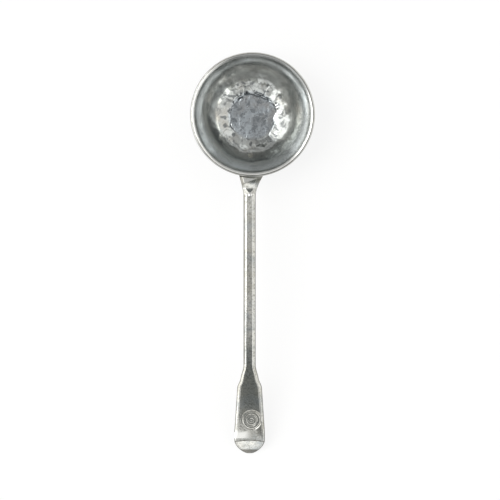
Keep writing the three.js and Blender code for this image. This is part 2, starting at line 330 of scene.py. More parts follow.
def fillet_rise(x, at):
    """How far the neck's face is raised on the bowl's side of the crease."""
    inside = fillet_crease(x) - at
    soft = clamp(inside / FILLET_SOFTNESS, -1, 1)
    inside = inside if soft == 1 else (soft + 1) ** 2 * FILLET_SOFTNESS / 4
    rise = inside * (tan(NECK_FACE_RISE) - tan(FILLET_RISE))
    return rise * smooth(at, BAND_RADIUS - FILLET_FADE, BAND_RADIUS)


def flare_at(at):
    return max(0, (STRIP_AT - at) / (STRIP_AT - BAND_RADIUS))


def lean_at(at):
    """How much further the handle reaches to +X where it flares out to the bowl."""
    return FLARE_LEAN * min(flare_at(at), 1) ** 2


def crisp_top(at):
    if at <= RIDGE_AT:
        return neck_height(at)
    if at <= STOP_AT:
        return lerp(RIDGE_HEIGHT, STOP_HEIGHT, (at - RIDGE_AT) / STOP_LENGTH)
    if at <= END_AT:
        return arch_height(at)
    return lerp(END_HEIGHT, TIP_EDGE, (at - END_AT) / END_LENGTH)


def top_height(at):
    """The top with its ridges worn round, and the tip's edge worn down."""
    reach = min(RIDGE_SOFTNESS, TIP_AT - at)
    steps = (-1, -0.5, 0, 0.5, 1)
    worn = TIP_WORN * clamp((at - TIP_AT) / TIP_WEAR_LENGTH + 1) ** 2
    return sum(crisp_top(at + reach * step) for step in steps) / len(steps) - worn


def thickness(at):
    past = smooth(at, STOP_AT, STOP_AT + THINNING_LENGTH)
    thin = smooth(at, SPREAD_AT, FIDDLE_AT)
    return lerp(lerp(NECK_THICKNESS, SHANK_THICKNESS, past), FIDDLE_THICKNESS, thin)


def back_height(at):
    if at > END_AT:
        left = (TIP_AT - at) / END_LENGTH
        return crisp_top(at) - lerp(TIP_EDGE, crisp_top(END_AT) - back_height(END_AT), left)
    level = sqrt(1 - ((at - ARCH.x) / ARCH_RADIUS) ** 2)
    arch = arch_height(at) - thickness(at) / level
    neck = neck_height(at) - NECK_THICKNESS / cos(NECK_RISE)
    near = max(BACK_BLEND - abs(arch - neck), 0) / BACK_BLEND
    return min(arch, neck) - near**2 * BACK_BLEND / 4


def half_width(at):
    flare = flare_at(at) ** FLARE_CURVE
    spread = smooth(at, SPREAD_AT, WAIST_AT)
    shoulder = smooth(at, WAIST_AT - SHOULDER_OVERLAP, FIDDLE_AT)
    swell = clamp((at - FIDDLE_AT) / SWELL_LENGTH)
    width = SHANK_WIDTH + (NECK_WIDTH - SHANK_WIDTH) * flare + (WAIST_WIDTH - SHANK_WIDTH) * spread
    return (width + (SHOULDER_WIDTH - WAIST_WIDTH) * shoulder + (FIDDLE_WIDTH - SHOULDER_WIDTH) * swell) / 2


def end_rounding(at):
    gone = clamp((at - END_AT) / END_LENGTH) * END_REACH
    return (1 - gone**END_CURVE) ** (1 / END_CURVE)


def bevel_width(at):
    return lerp(SHANK_BEVEL, FIDDLE_BEVEL, clamp((at - SPREAD_AT) / (END_AT - SPREAD_AT)))


def half_flat(at):
    if at <= RIDGE_AT:
        return lerp(NECK_FLAT, RIDGE_FLAT, (at - BAND_RADIUS) / NECK_LENGTH) / 2
    if at <= STOP_AT:
        return lerp(RIDGE_FLAT, STOP_FLAT, (at - RIDGE_AT) / STOP_LENGTH) / 2
    strip = half_width(at) - bevel_width(at)
    return lerp(STOP_FLAT / 2, strip, clamp((at - STOP_AT) / STRIP_LEAD))


# Points round one section of the handle

TOP_POINTS = 72
BEVEL_POINTS = 5
CORNER_POINTS = 4
BACK_POINTS = 28
HALVINGS = 24


def run(start, end, points):
    """Evenly spaced points from start up to, and without, end."""
    return [start.lerp(end, step / points) for step in range(points)]


def rounded(before, corner, after, cut):
    """The points of a worn corner, from its first side to its second."""
    cut = min(cut, (before - corner).length * MOST_CUT, (after - corner).length * MOST_CUT)
    start = corner + (before - corner).normalized() * cut
    end = corner + (after - corner).normalized() * cut
    points = []
    for step in range(CORNER_POINTS + 1):
        share = step / CORNER_POINTS
        points.append(start.lerp(corner, share).lerp(corner.lerp(end, share), share))
    return points


def section(at, grow=0.0):
    """Points round the handle, (across, height), from the right edge over the top and the back."""
    rounding = end_rounding(at)
    half = half_width(at) * rounding + grow
    wide_half = half + lean_at(at)
    flat = half_flat(at) * rounding + grow * tan(BEVEL_ANGLE / 2)
    top = top_height(at) + grow
    back = back_height(at) - grow
    widened = smooth(at, SPREAD_AT, FIDDLE_AT)
    left_shift = lerp(LEFT_CREASE, FIDDLE_LEFT_CREASE, widened)
    left_shift *= smooth(at, STRIP_AT, STRIP_AT + LEFT_CREASE_LEAD)
    left_flat = flat + left_shift * rounding
    crease_cut = lerp(CREASE_CUT, FIDDLE_CREASE_CUT, widened)
    crown = flat * lerp(SHANK_CROWN, FIDDLE_CROWN, widened)
    shoulder = top - crown - bevel_width(at) * tan(BEVEL_ANGLE) * rounding
    edge = shoulder - (top - back) * EDGE_SHARE

    def bevel(outside, inside):
        outer, inner = Vector((outside, shoulder)), Vector((inside, top - crown))
        low = rounded(Vector((outside, edge)), outer, inner, EDGE_CUT)
        high = rounded(outer, inner, Vector((0, top - crown)), crease_cut)
        return low[:-1] + run(low[-1], high[0], BEVEL_POINTS) + high

    right = bevel(wide_half, flat)
    left = [Vector((-point.x, point.y)) for point in reversed(bevel(half, left_flat))]
    face = run(right[-1], left[0], TOP_POINTS)[1:]
    for point in face:
        side = flat if point.x > 0 else left_flat
        point.y += crown * (1 - abs(point.x / side) ** CROWN_CURVE)
    points = right + face + left
    for step in range(BACK_POINTS + 1):
        angle = pi * step / BACK_POINTS
        outside = -half if cos(angle) > 0 else wide_half
        across = outside * abs(cos(angle)) ** (2 / BACK_CURVE)
        points.append(Vector((across, edge - (edge - back) * sin(angle) ** (2 / BACK_CURVE))))
    return points


def meets_wall(at_point, offset):
    """Follows a line that leaves the bowl to its wall, and gives the distance from the axis."""
    inside, outside = 2 * FLOOR_RADIUS, RIDGE_AT
    for _ in range(HALVINGS):
        middle = (inside + outside) / 2
        point = at_point(middle)
        if hypot(HANDLE_X + point.x, middle) < wall_radius(point.y, offset):
            inside = middle
        else:
            outside = middle
    return inside


# Meshes

def new_piece(name, bm, material, node=None, soil_and_shade=None):
    """Makes a finished piece from its bmesh, smooth and riding on the one rigid body."""
    bmesh.ops.recalc_face_normals(bm, faces=bm.faces)
    mark_wear(bm, soil_and_shade)
    mesh = bpy.data.meshes.new(name)
    for face in bm.faces:
        face.smooth = True
    bm.to_mesh(mesh)
    bm.free()
    mesh.materials.append(material)
    piece = bpy.data.objects.new(name, mesh)
    bpy.context.scene.collection.objects.link(piece)
    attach(piece, "root")
    if node:
        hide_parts(node)


def mark_wear(bm, soil_and_shade):
    """Stores how worn and how soiled the metal is, with painted light and painted shade added, from 0 to 1.
    What stands proud is worn and a hollow is soiled. To that the piece's own function of a place adds
    soil and painted shade, or polish and painted light below 0."""
    bm.normal_update()
    worn = bm.verts.layers.float.new("worn")
    soiled_and_shaded = bm.verts.layers.float.new("soiled_and_shaded")
    bends = []
    for vert in bm.verts:
        bend = 0.0
        for edge in vert.link_edges:
            step = edge.other_vert(vert).co - vert.co
            bend += 2 * vert.normal.dot(step) / step.length_squared
        bends.append(bend / len(vert.link_edges) * WEAR_REACH)
    bm.verts.index_update()
    for vert in bm.verts:
        around = [bends[edge.other_vert(vert).index] for edge in vert.link_edges]
        bend = (bends[vert.index] + sum(around) / len(around)) / 2
        soil_shade_and_light = soil_and_shade(vert.co) if soil_and_shade else 0.0
        vert[worn] = clamp(clamp(-bend) * (1 - max(soil_shade_and_light, 0)) - min(soil_shade_and_light, 0))
        vert[soiled_and_shaded] = clamp(max(bend, 0) + soil_shade_and_light)


def old_skin(place):
    """The grey skin that age leaves where nothing rubs, on the outside and underneath."""
    return SKIN + 0.2 * ripple(place, 13 * MM) + 0.12 * ripple(place, 4 * MM)


def rolled(point, along, around):
    """A closed skin: a grid is rolled up by a function of its two steps, and its ends are capped."""
    bm = bmesh.new()
    bmesh.ops.create_grid(bm, x_segments=along, y_segments=around, size=1)
    for vert in bm.verts:
        vert.co = point(round((vert.co.x + 1) / 2 * along), round((vert.co.y + 1) / 2 * around))
    bmesh.ops.remove_doubles(bm, verts=bm.verts, dist=MM / 1000)
    bmesh.ops.holes_fill(bm, edges=[edge for edge in bm.edges if edge.is_boundary], sides=0)
    return bm


def spun(profile, steps, closed=False, inner_points=0):
    """A body of revolution from points (radius, height). The first inner_points are marked as inside."""
    bm = bmesh.new()
    inside = bm.verts.layers.float.new("inside")
    verts = [bm.verts.new((radius, 0, height)) for radius, height in profile]
    for vert in verts[:inner_points]:
        vert[inside] = 1.0
    ends = verts[1:] + verts[:1] if closed else verts[1:]
    edges = [bm.edges.new(pair) for pair in zip(verts, ends)]
    bmesh.ops.spin(
        bm, geom=verts + edges, cent=(0, 0, 0), axis=(0, 0, 1), angle=2 * pi, steps=steps, use_merge=True)
    bmesh.ops.remove_doubles(bm, verts=bm.verts, dist=MM / 1000)
    return bm


# Bowl

FLOOR_STEPS = 30
KNEE_STEPS = 34
SIDE_STEPS = 40
LIP_STEPS = 12
BOWL_SEGMENTS = 288


def bowl_profile():
    """The bowl's section from the inside of the floor over the lip to the base, and how many of its
    points are inside."""
    points = [(FLOOR_RADIUS * step / FLOOR_STEPS, WALL) for step in range(FLOOR_STEPS)]
    lip_turn = turn_at(BOWL_HEIGHT - LIP_RISE, 0)
    turns = [KNEE_ANGLE * step / KNEE_STEPS for step in range(KNEE_STEPS)]
    turns += [lerp(KNEE_ANGLE, lip_turn, step / SIDE_STEPS) for step in range(SIDE_STEPS + 1)]
    points += [wall_point(turn, 0) for turn in turns]
    inner_points = len(points)
    middle = wall_point(lip_turn, WALL / 2)
    for step in range(1, LIP_STEPS):
        angle = pi * (1 - step / LIP_STEPS)
        across = WALL / 2 * abs(cos(angle)) ** (2 / LIP_CURVE) * (1 if cos(angle) > 0 else -1)
        across += LIP_SKEW * (1 - (2 * across / WALL) ** 2)
        points.append((middle.x + across, middle.y + LIP_RISE * sin(angle) ** (2 / LIP_CURVE)))
    outer_turn = turn_at(BOWL_HEIGHT - LIP_RISE, WALL)
    outer = [lerp(outer_turn, KNEE_ANGLE, step / SIDE_STEPS) for step in range(SIDE_STEPS)]
    outer += [KNEE_ANGLE * (1 - step / KNEE_STEPS) for step in range(KNEE_STEPS + 1)]
    points += [wall_point(turn, WALL) for turn in outer]
    points.append((0.0, 0.0))
    return points, inner_points


def inner_height(radius):
    """The height of the bowl's inner face at a distance from the axis."""
    if radius < FLOOR_RADIUS:
        return WALL
    if radius < KNEE_END_RADIUS:
        return KNEE.y - sqrt(KNEE_RADIUS**2 - (radius - FLOOR_RADIUS) ** 2)
    return SIDE.y - sqrt(SIDE_RADIUS**2 - (radius - SIDE.x) ** 2)


def stray(place, radius):
    """How far inwards the disc's edge and the ring stray at a place."""
    around = place.normalized()
    inwards = STRAY_WIDE * noise.noise(around * 1.3 + Vector((4, 1, 0)))
    inwards += STRAY_NARROW * noise.noise(around * 4)
    inwards *= 1 - smooth(radius, STRAY_FADES, STRAY_ENDS)
    inwards += DISC_SHIFT * place.y / radius * (1 - smooth(radius, HAMMERED_RADIUS, UNTOUCHED_RADIUS))
    return inwards * smooth(radius, STRAY_STARTS, STRAY_FULL)


def hammering(x, y):
    """How far the hammer has lifted the inner face from its spun shape, and how soiled that left it."""
    radius = hypot(x, y)
    if radius < MM / 10 or radius > UNTOUCHED_RADIUS:
        return 0.0, 0.0
    place = Vector((x, y, 0))
    strayed = stray(place, radius)
    edge = DISC_RADIUS - strayed
    ring = smooth(radius, edge - 0.5 * MM, edge + 1.2 * MM)
    ring *= 1 - smooth(radius, HAMMERED_RADIUS - 2 * MM, HAMMERED_RADIUS + 3 * MM)

    # The ring's dents, with seams between them that are gouged in places, least by the handle
    nearest = noise.voronoi(place / DENT_SPACING + Vector((3.3, 7.1, 0)))[0]
    dent = nearest[0] ** 2 * DENT_RISE
    seam = 1 - smooth(nearest[1] - nearest[0], 0, SEAM_SHARE)
    crumple = 0.07 * MM * ripple(place, 2.6 * MM) + 0.02 * MM * ripple(place, 1.2 * MM)
    gouged = smooth(ripple(place, 7 * MM, (0, 0, 2)), -0.2, 0.3)
    gouged *= 1 - 0.7 * smooth(-y / radius, 0.3, 0.8)
    pitted = smooth(ripple(place, 3.4 * MM, (1, 1, 8)), 0.22, 0.42)

    # The crevice, wide and ragged away from the handle
    reach = CREVICE_OUTER
    if radius < edge:
        ragged = smooth(ripple(place, 1.7 * MM, (6, 2, 4)), -0.3, 0.3)
        reach = lerp(CREVICE_INNER, CREVICE_RAGGED, smooth(y / radius, 0.3, 0.8) * ragged)
    crevice = (1 - smooth(abs(radius - edge), 0.1 * MM, reach)) * gouged

    # The disc's slow waves and thin creases
    waves = 0.16 * MM * ripple(place, 5.5 * MM) + 0.05 * MM * ripple(place, 2.1 * MM)
    crease = 1 - smooth(abs(ripple(place, 5 * MM, (2, 9, 1))), 0.01, 0.06)
    crease *= smooth(ripple(place, 6 * MM, (5, 0, 3)), -0.1, 0.25)

    lift = inner_height(radius + strayed) - inner_height(radius)
    lift += ring * (dent - seam * SEAM_DEPTH + crumple - RING_DEPTH) - crevice * CREVICE_DEPTH
    lift += (1 - ring) * (waves - crease * CREASE_DEPTH)
    ring_soil = ring * max(SEAM_SOIL * seam * gouged, PIT_SOIL * pitted)
    return lift, max(crevice, ring_soil, CREASE_SOIL * crease * (1 - ring))


def bowl_soil_and_shade(place):
    """Grey on the outside and soiled in the hammering, with painted shade on part of the lip and on the
    side.
    """
    radius = max(hypot(place.x, place.y), MM)
    # painted shade on the lip, towards +Y
    if place.z > BOWL_HEIGHT - LIP_ZONE:
        return LIP_SHADE * smooth(LIP_SHADE_TOWARDS.dot(place) / radius, 0.45, 0.85)
    if radius > MOUTH_RADIUS or place.z < inner_height(radius) - WALL / 2:
        return old_skin(place)
    # painted shade on the side, most on the left and towards +Y
    starts, full, fades, ends = SIDE_SHADE_RADII
    side_shade = smooth(radius, starts, full) * (1 - smooth(radius, fades, ends))
    left, top = smooth(-place.x / radius, 0.1, 0.8), smooth(place.y / radius, 0.3, 0.9)
    side_shade *= max(SIDE_SHADE_ALL_ROUND, SIDE_SHADE_LEFT * left, SIDE_SHADE_TOP * top)
    return max(hammering(place.x, place.y)[1], side_shade)


def make_bowl(material):
    """Spins the bowl, hammers its inside, and leaves its side and rim as uneven as a hand does."""
    profile, inner_points = bowl_profile()
    bm = spun(profile, BOWL_SEGMENTS, inner_points=inner_points)
    inside = bm.verts.layers.float["inside"]
    for vert in bm.verts:
        x, y, z = vert.co
        out = Vector((x, y, 0)).normalized()
        sway = RIM_SWAY * noise.noise(out * 1.1) if hypot(x, y) > MM else 0
        waves = SIDE_WAVES * ripple(vert.co, 9 * MM) * smooth(hypot(x, y), FLOOR_RADIUS, MOUTH_RADIUS)
        if vert[inside] > 0.5:
            vert.co.z += hammering(x, y)[0]
        vert.co += out * (sway * z / BOWL_HEIGHT + waves)
    new_piece("bowl_shell", bm, material, "bowl", bowl_soil_and_shade)


# Rim band

BAND_STEPS = 14


def band_soil_and_shade(place):
    """The band is soiled in its groove, with painted shade on its outer side, most to the left, and a
    painted shadow by the handle.
    """
    outwards = hypot(place.x, place.y) - BAND_RADIUS
    groove = 1 - smooth(outwards, -BAND_GROOVE, -BAND_CROWN)
    groove *= smooth(place.z, BAND_MIDDLE, BAND_HIGH)
    # painted shade on the outer side, more on the left, and a painted shadow by the handle
    outer = smooth(outwards, -BAND_CROWN, -BAND_SKIRT)
    outer *= BAND_SIDE_SHADE + BAND_LEFT_SHADE * smooth(-place.x / BAND_RADIUS, 0.2, 0.8)
    return max(groove, outer, BAND_HANDLE_SHADOW * smooth(-place.y / BAND_RADIUS, 0.35, 0.8))


def make_rim_band(material):
    """The half-round band, sunk a little into the wall."""
    profile = []
    half = (BAND_HIGH - BAND_LOW) / 2
    stands = BAND_RADIUS - wall_radius(BAND_MIDDLE, WALL)
    for step in range(BAND_STEPS + 1):
        angle = pi * (step / BAND_STEPS - 0.5)
        height = BAND_MIDDLE + half * sin(angle)
        profile.append((wall_radius(height, WALL) + stands * cos(angle), height))
    for height in (BAND_HIGH - BAND_SUNK, BAND_LOW + BAND_SUNK):
        profile.append((wall_radius(height, WALL) - BAND_SUNK, height))
    bm = spun(profile, BOWL_SEGMENTS, closed=True)
    for vert in bm.verts:
        out = Vector((vert.co.x, vert.co.y, 0)).normalized()
        vert.co += out * (BAND_SWAY * ripple(vert.co, 5 * MM) - BAND_INSET)
    new_piece("half_round_band", bm, material, "rim_band", band_soil_and_shade)


# Handle

FOOT_STEPS = 26
END_STEPS = 26
PUNCH_SPAN = 9 * MM


def handle_stations():
    """Distances from the axis, closer together where the form or the punch needs it."""
    spans = (
        (RIDGE_AT, STRIP_AT + 2 * MM, 0.3 * MM),
        (STRIP_AT + 2 * MM, SPREAD_AT, 1.4 * MM),
        (SPREAD_AT, PUNCH_AT - PUNCH_SPAN, 0.9 * MM),
        (PUNCH_AT - PUNCH_SPAN, PUNCH_AT + PUNCH_SPAN, 0.28 * MM),
        (PUNCH_AT + PUNCH_SPAN, END_AT, 0.4 * MM),
    )
    stations = []
    for start, end, spacing in spans:
        steps = round((end - start) / spacing)
        stations += [lerp(start, end, step / steps) for step in range(steps)]
    sweep = asin(END_REACH)
    for step in range(END_STEPS + 1):
        stations.append(END_AT + END_LENGTH * sin(sweep * step / END_STEPS) / END_REACH)
    return stations


def punch(x, at):
    """Depth of the ring punch, struck harder on one side, with a burr on both sides of each ring."""
    radius = hypot(x - PUNCH_X, at - PUNCH_AT)
    if radius > PUNCH_REACH:
        return 0.0
    tilt = 1 + PUNCH_TILT * (x - PUNCH_X + at - PUNCH_AT) / PUNCH_RINGS[0][0]
    depth = 0.0
    for ring, width, deep in PUNCH_RINGS:
        off = (radius - ring) / width
        burr = BURR_SHARE * exp(-BURR_SHARPNESS * (abs(off) - BURR_PLACE) ** 2)
        depth += deep * tilt * (exp(-(off**2)) - burr)
    return depth


def end_shade(x, at, edges):
    """Painted shade: a dark line along the facet's upper edge, on the tip, and along the edges."""
    start = END_AT + FACET_BOW * (x / half_width(at)) ** 2
    line = 1 - smooth(abs(at - start + FACET_SHADE_LINE), 0.15 * MM, 0.5 * MM)
    tip_shade = TIP_SHADE * smooth(at, TIP_AT - 3.8 * MM, TIP_AT - 2.6 * MM)
    return max(line, edges, tip_shade)


def neck_shade_and_light(x, at, edges):
    """The neck's sides and edges have painted shade, and the fillet of its face has painted light."""
    flat = half_flat(at)
    right = smooth(x, flat - 0.1 * MM, flat + 0.3 * MM)
    left = smooth(-x, flat - 0.2 * MM, flat + 0.3 * MM)
    left *= 1 - smooth(at, RIDGE_AT - NECK_SHADE_FADE, RIDGE_AT)
    # painted light on the fillet of the face
    fillet_light = 1 - smooth(at, fillet_crease(x) - 0.6 * MM, fillet_crease(x) + 0.2 * MM)
    soil_and_shade = max(edges, NECK_RIGHT_SHADE * right, NECK_LEFT_SHADE * left, NECK_TRACE)
    return soil_and_shade - FILLET_PAINTED_LIGHT * fillet_light * (1 - max(left, right))


def face_soil_shade_and_light(x, at, edges):
    """The long face, with a painted highlight on the fiddle's left, soil round the pip, and painted shade
    along its edges.
    """
    # painted highlight on the left of the face, before the facet
    highlight = smooth(at, HIGHLIGHT_AT - 6 * MM, HIGHLIGHT_AT - 2 * MM)
    highlight *= 1 - smooth(at, HIGHLIGHT_AT + 2 * MM, HIGHLIGHT_AT + 4 * MM)
    highlight *= 1 - smooth(x, -5 * MM, 3 * MM)
    if highlight > edges:
        return -highlight
    off = abs(hypot(x - PIP_X, at - STRIP_AT) - PIP_RADIUS - PIP_SOIL_GAP)
    return max(edges, PIP_SOIL * (1 - smooth(off, 0.15 * MM, 0.4 * MM)))


def handle_soil_and_shade(place):
    """Grey underneath, with painted shade along the upper edges, and in each part what belongs to it."""
    x, at = place.x - HANDLE_X, -place.y
    within = min(at, TIP_AT)
    if place.z < lerp(back_height(within), top_height(within), SKIN_TOP):
        return old_skin(place)
    # painted shade along the upper edges, wider on the left of the shank
    half = half_width(at) * end_rounding(within) + (lean_at(at) if x > 0 else 0)
    on_left_shank = x < 0 and STRIP_AT < at < SPREAD_AT
    inner = half - (LEFT_EDGE_SHADE_WIDTH if on_left_shank else EDGE_SHADE_WIDTH)
    edges = smooth(abs(x), inner, inner + SHADE_FADE)
    edges *= lerp(NECK_EDGE_SHADE, EDGE_SHADE, smooth(at, STOP_AT, STRIP_AT))
    if at > END_AT - 2 * MM:
        return end_shade(x, at, edges)
    return neck_shade_and_light(x, at, edges) if at < STOP_AT else face_soil_shade_and_light(x, at, edges)


def make_handle(material):
    """Rolls the handle's skin through its sections, from its foot in the wall to its tip."""
    stations = handle_stations()
    outlines = [section(at) for at in stations]
    columns = len(outlines[0])
    foot = [meets_wall(lambda at: section(at)[column], WALL) - FOOT_SUNK for column in range(columns)]

    def place(step, column):
        column %= columns
        if step < FOOT_STEPS:
            at = lerp(foot[column], RIDGE_AT, step / FOOT_STEPS)
            spot = section(at)[column]
        else:
            at = stations[step - FOOT_STEPS]
            spot = outlines[step - FOOT_STEPS][column]
        x, height = HANDLE_X + spot.x, spot.y
        if column < columns - BACK_POINTS - 1:
            bow = FACET_BOW * (spot.x / half_width(at)) ** 2 * smooth(at, TURN_AT, END_AT)
            height += top_height(at - bow) - top_height(at) - punch(x, at) + fillet_rise(spot.x, at)
        wave = WAVE_DEPTH * (ripple(Vector((x * WAVE_ACROSS, at, height)), WAVE_SPACING) - 1)
        wave *= smooth(at, STRIP_AT, STRIP_AT + WAVE_LEAD) * (1 - smooth(at, END_AT - WAVE_TAIL, END_AT))
        return Vector((x, -at, height + wave))

    bm = rolled(place, FOOT_STEPS + len(stations) - 1, columns)
    new_piece("handle_casting", bm, material, "handle", handle_soil_and_shade)


# Pip

PIP_STEPS = 12
PIP_SEGMENTS = 48


def make_pip(material):
    """The domed stud at the strip's head, set square to the strip."""
    profile = [(0.0, -PIP_ROOT), (PIP_RADIUS, -PIP_ROOT)]
    for step in range(PIP_STEPS + 1):
        out = 1 - step / PIP_STEPS
        profile.append((PIP_RADIUS * out, PIP_RISE * (1 - out**2)))
    bm = spun(profile, PIP_SEGMENTS)
    seat = Matrix.Translation((HANDLE_X + PIP_X, -STRIP_AT, top_height(STRIP_AT)))
    bmesh.ops.transform(bm, matrix=seat @ Matrix.Rotation(-ARCH_RISE, 4, "X"), verts=bm.verts)
    new_piece("pip_stud", bm, material, soil_and_shade=lambda place: -PIP_POLISH)


# Drop

DROP_SEGMENTS = 48
DROP_RINGS = 32


def make_drop(material):
    """The tongue under the foot: a ball flattened on to the outside of the wall."""
    bm = bmesh.new()
    bmesh.ops.create_uvsphere(bm, u_segments=DROP_SEGMENTS, v_segments=DROP_RINGS, radius=1)
    foot = meets_wall(lambda at: Vector((0, back_height(at))), WALL)
    radius = SIDE_RADIUS + WALL
    middle = acos((SIDE.y - back_height(foot)) / radius) - (DROP_LENGTH / 2 - DROP_OVERLAP) / radius
    for vert in bm.verts:
        across, along, out = vert.co
        turn = middle + along * DROP_LENGTH / 2 / radius
        rise = DROP_RISE * out if out > 0 else WALL / 2 * out
        line = wall_point(turn, WALL + rise)
        spread = (HANDLE_X + across * DROP_WIDTH / 2) / line.x
        vert.co = Vector((line.x * sin(spread), -line.x * cos(spread), line.y))
    new_piece("drop_tongue", bm, material, "drop", old_skin)


# Solder bead

BEAD_SIDES = 10


def make_solder_bead(material):
    """The bead fills the corner between the foot and the wall, sagging and a little lumpy."""
    columns = len(section(RIDGE_AT))

    def handle_point(column, at, grow):
        spot = section(at, grow)[column]
        return Vector((HANDLE_X + spot.x, -at, spot.y))

    routes = []
    for column in range(columns):
        corner_at = meets_wall(lambda at: section(at)[column], WALL)
        wall_at = meets_wall(lambda at: section(at, BEAD_LEG)[column], WALL)
        routes.append((
            handle_point(column, corner_at, 0.0),
            handle_point(column, corner_at + BEAD_LEG, BEAD_LIFT),
            handle_point(column, wall_at, BEAD_LEG),
        ))

    def place(column, side):
        corner, skin, wall = routes[column % columns]
        if side % BEAD_SIDES == 0:
            return corner - (corner * Vector((1, 1, 0))).normalized() * BEAD_SUNK
        share = (side % BEAD_SIDES - 1) / (BEAD_SIDES - 2)
        lump = 1 + BEAD_LUMPS * ripple(corner, LUMP_SPACING)
        pull = corner.lerp((skin + wall) / 2, BEAD_SAG * lump)
        return skin.lerp(pull, share).lerp(pull.lerp(wall, share), share)

    new_piece("solder_fillet", rolled(place, columns, BEAD_SIDES), material, "solder_bead")


# Materials

POLISH_AND_PAINTED_LIGHT = "#efefeb"  # where any of the pewters is fully worn, and the colour of painted light
FRESH_ROUGHNESS = 0.85  # share of a pewter's roughness that it has between its patches of age
AGED_ROUGHNESS = 1.25  # and in them
WORN_SMOOTHER = 0.4  # share of a pewter's roughness that full wear takes off
SOIL_ROUGHNESS = 0.3  # roughness that full soil adds, except in the bowl
HUE_SCALE = 0.4  # makes the warm and cool parts 2.5 times as wide as the patches of age
SCRATCH_SPACING = 0.7 * MM  # real ones are finer, and these are drawn coarser so that they show
SCRATCH_STRETCH = (1, 0.04, 0.04)  # makes them 25 times as long as they are wide
SCRATCH_ANGLES = (0.35, 1.9)  # radians about Z

# How the bowl's finish changes with the distance from its axis
RING_FULL = FLOOR_RADIUS + 4 * MM  # the ring is warmer than the disc, and has fewer stains
RING_TONE = "#f9f4eb"
RING_STAINS_GONE = 0.7
SIDE_STARTS = 26.5 * MM  # beyond the hammering the metal is duller
SIDE_FULL = 33.5 * MM
FLOOR_ROUGHNESS = 0.6  # share of the pewter's roughness that the floor has
SIDE_ROUGHER = 0.4  # and how much of it the side has more
RUBBED_STARTS = 36 * MM  # near the lip it is rubbed brighter
RUBBED_FULL = 40 * MM
RUBBED_SHARE = 0.95


def linear(hex_colour):
    """An sRGB hex colour as linear red, green, blue and alpha."""
    channels = [int(hex_colour[i : i + 2], 16) / 255 for i in (1, 3, 5)]
    return (*[c / 12.92 if c <= 0.04045 else ((c + 0.055) / 1.055) ** 2.4 for c in channels], 1.0)


def add(tree, kind, inputs=None, **settings):
    """Adds a node, with its settings and with its inputs linked or set."""
    made = tree.nodes.new(kind)
    for name, value in settings.items():
        setattr(made, name, value)
    for name, value in (inputs or {}).items():
        socket = made.inputs[name]
        if isinstance(value, bpy.types.NodeSocket):
            tree.links.new(value, socket)
        else:
            socket.default_value = value
    return made


def new_tree(owner):
    """Gives a material or a world an empty node tree."""
    owner.use_nodes = True
    owner.node_tree.nodes.clear()
    return owner.node_tree


def bowl_share(tree, place, start, end):
    """Goes from 0 to 1 between two distances from the bowl's axis."""
    flat = add(tree, "ShaderNodeVectorMath", {0: place, 1: (1, 1, 0)}, operation="MULTIPLY").outputs[0]
    radius = add(tree, "ShaderNodeVectorMath", {0: flat}, operation="LENGTH").outputs["Value"]
    return add(tree, "ShaderNodeMapRange", {
        "Value": radius, "From Min": start, "From Max": end,
    }, interpolation_type="SMOOTHSTEP").outputs[0]


def scratches_in(tree, place):
    """Fine straight scratches in two directions, as a height from 0 to 1."""
    scratches = 0.0
    for angle in SCRATCH_ANGLES:
        turned = add(tree, "ShaderNodeMapping", {
            "Vector": place, "Rotation": (0, 0, angle), "Scale": SCRATCH_STRETCH,
        }).outputs[0]
        lines = add(tree, "ShaderNodeTexNoise", {
            "Vector": turned, "Scale": 1 / SCRATCH_SPACING, "Detail": 1.0,
        }).outputs["Fac"]
        cut = add(tree, "ShaderNodeMapRange", {
            "Value": lines, "From Min": 0.68, "From Max": 0.76,
        }).outputs[0]
        scratches = add(tree, "ShaderNodeMath", {0: cut, 1: scratches}, operation="MAXIMUM").outputs[0]
    return scratches


def bowl_finish(tree, place, ring, colour, rough, wall):
    """The bowl's colour and roughness, from the warm ring over the dull side to the rubbed part."""
    side = bowl_share(tree, place, SIDE_STARTS, SIDE_FULL)
    rubbed = bowl_share(tree, place, RUBBED_STARTS, RUBBED_FULL)
    toned = {"Factor": ring, 6: colour, 7: linear(RING_TONE)}
    colour = add(tree, "ShaderNodeMix", toned, data_type="RGBA", blend_type="MULTIPLY").outputs[2]
    cover = add(tree, "ShaderNodeMath", {0: rubbed, 1: RUBBED_SHARE}, operation="MULTIPLY").outputs[0]
    bright = {"Factor": cover, 6: colour, 7: linear(wall)}
    colour = add(tree, "ShaderNodeMix", bright, data_type="RGBA").outputs[2]
    share = {0: side, 1: SIDE_ROUGHER, 2: FLOOR_ROUGHNESS}
    share = add(tree, "ShaderNodeMath", share, operation="MULTIPLY_ADD").outputs[0]
    rough = add(tree, "ShaderNodeMath", {0: rough, 1: share}, operation="MULTIPLY").outputs[0]
    return colour, rough


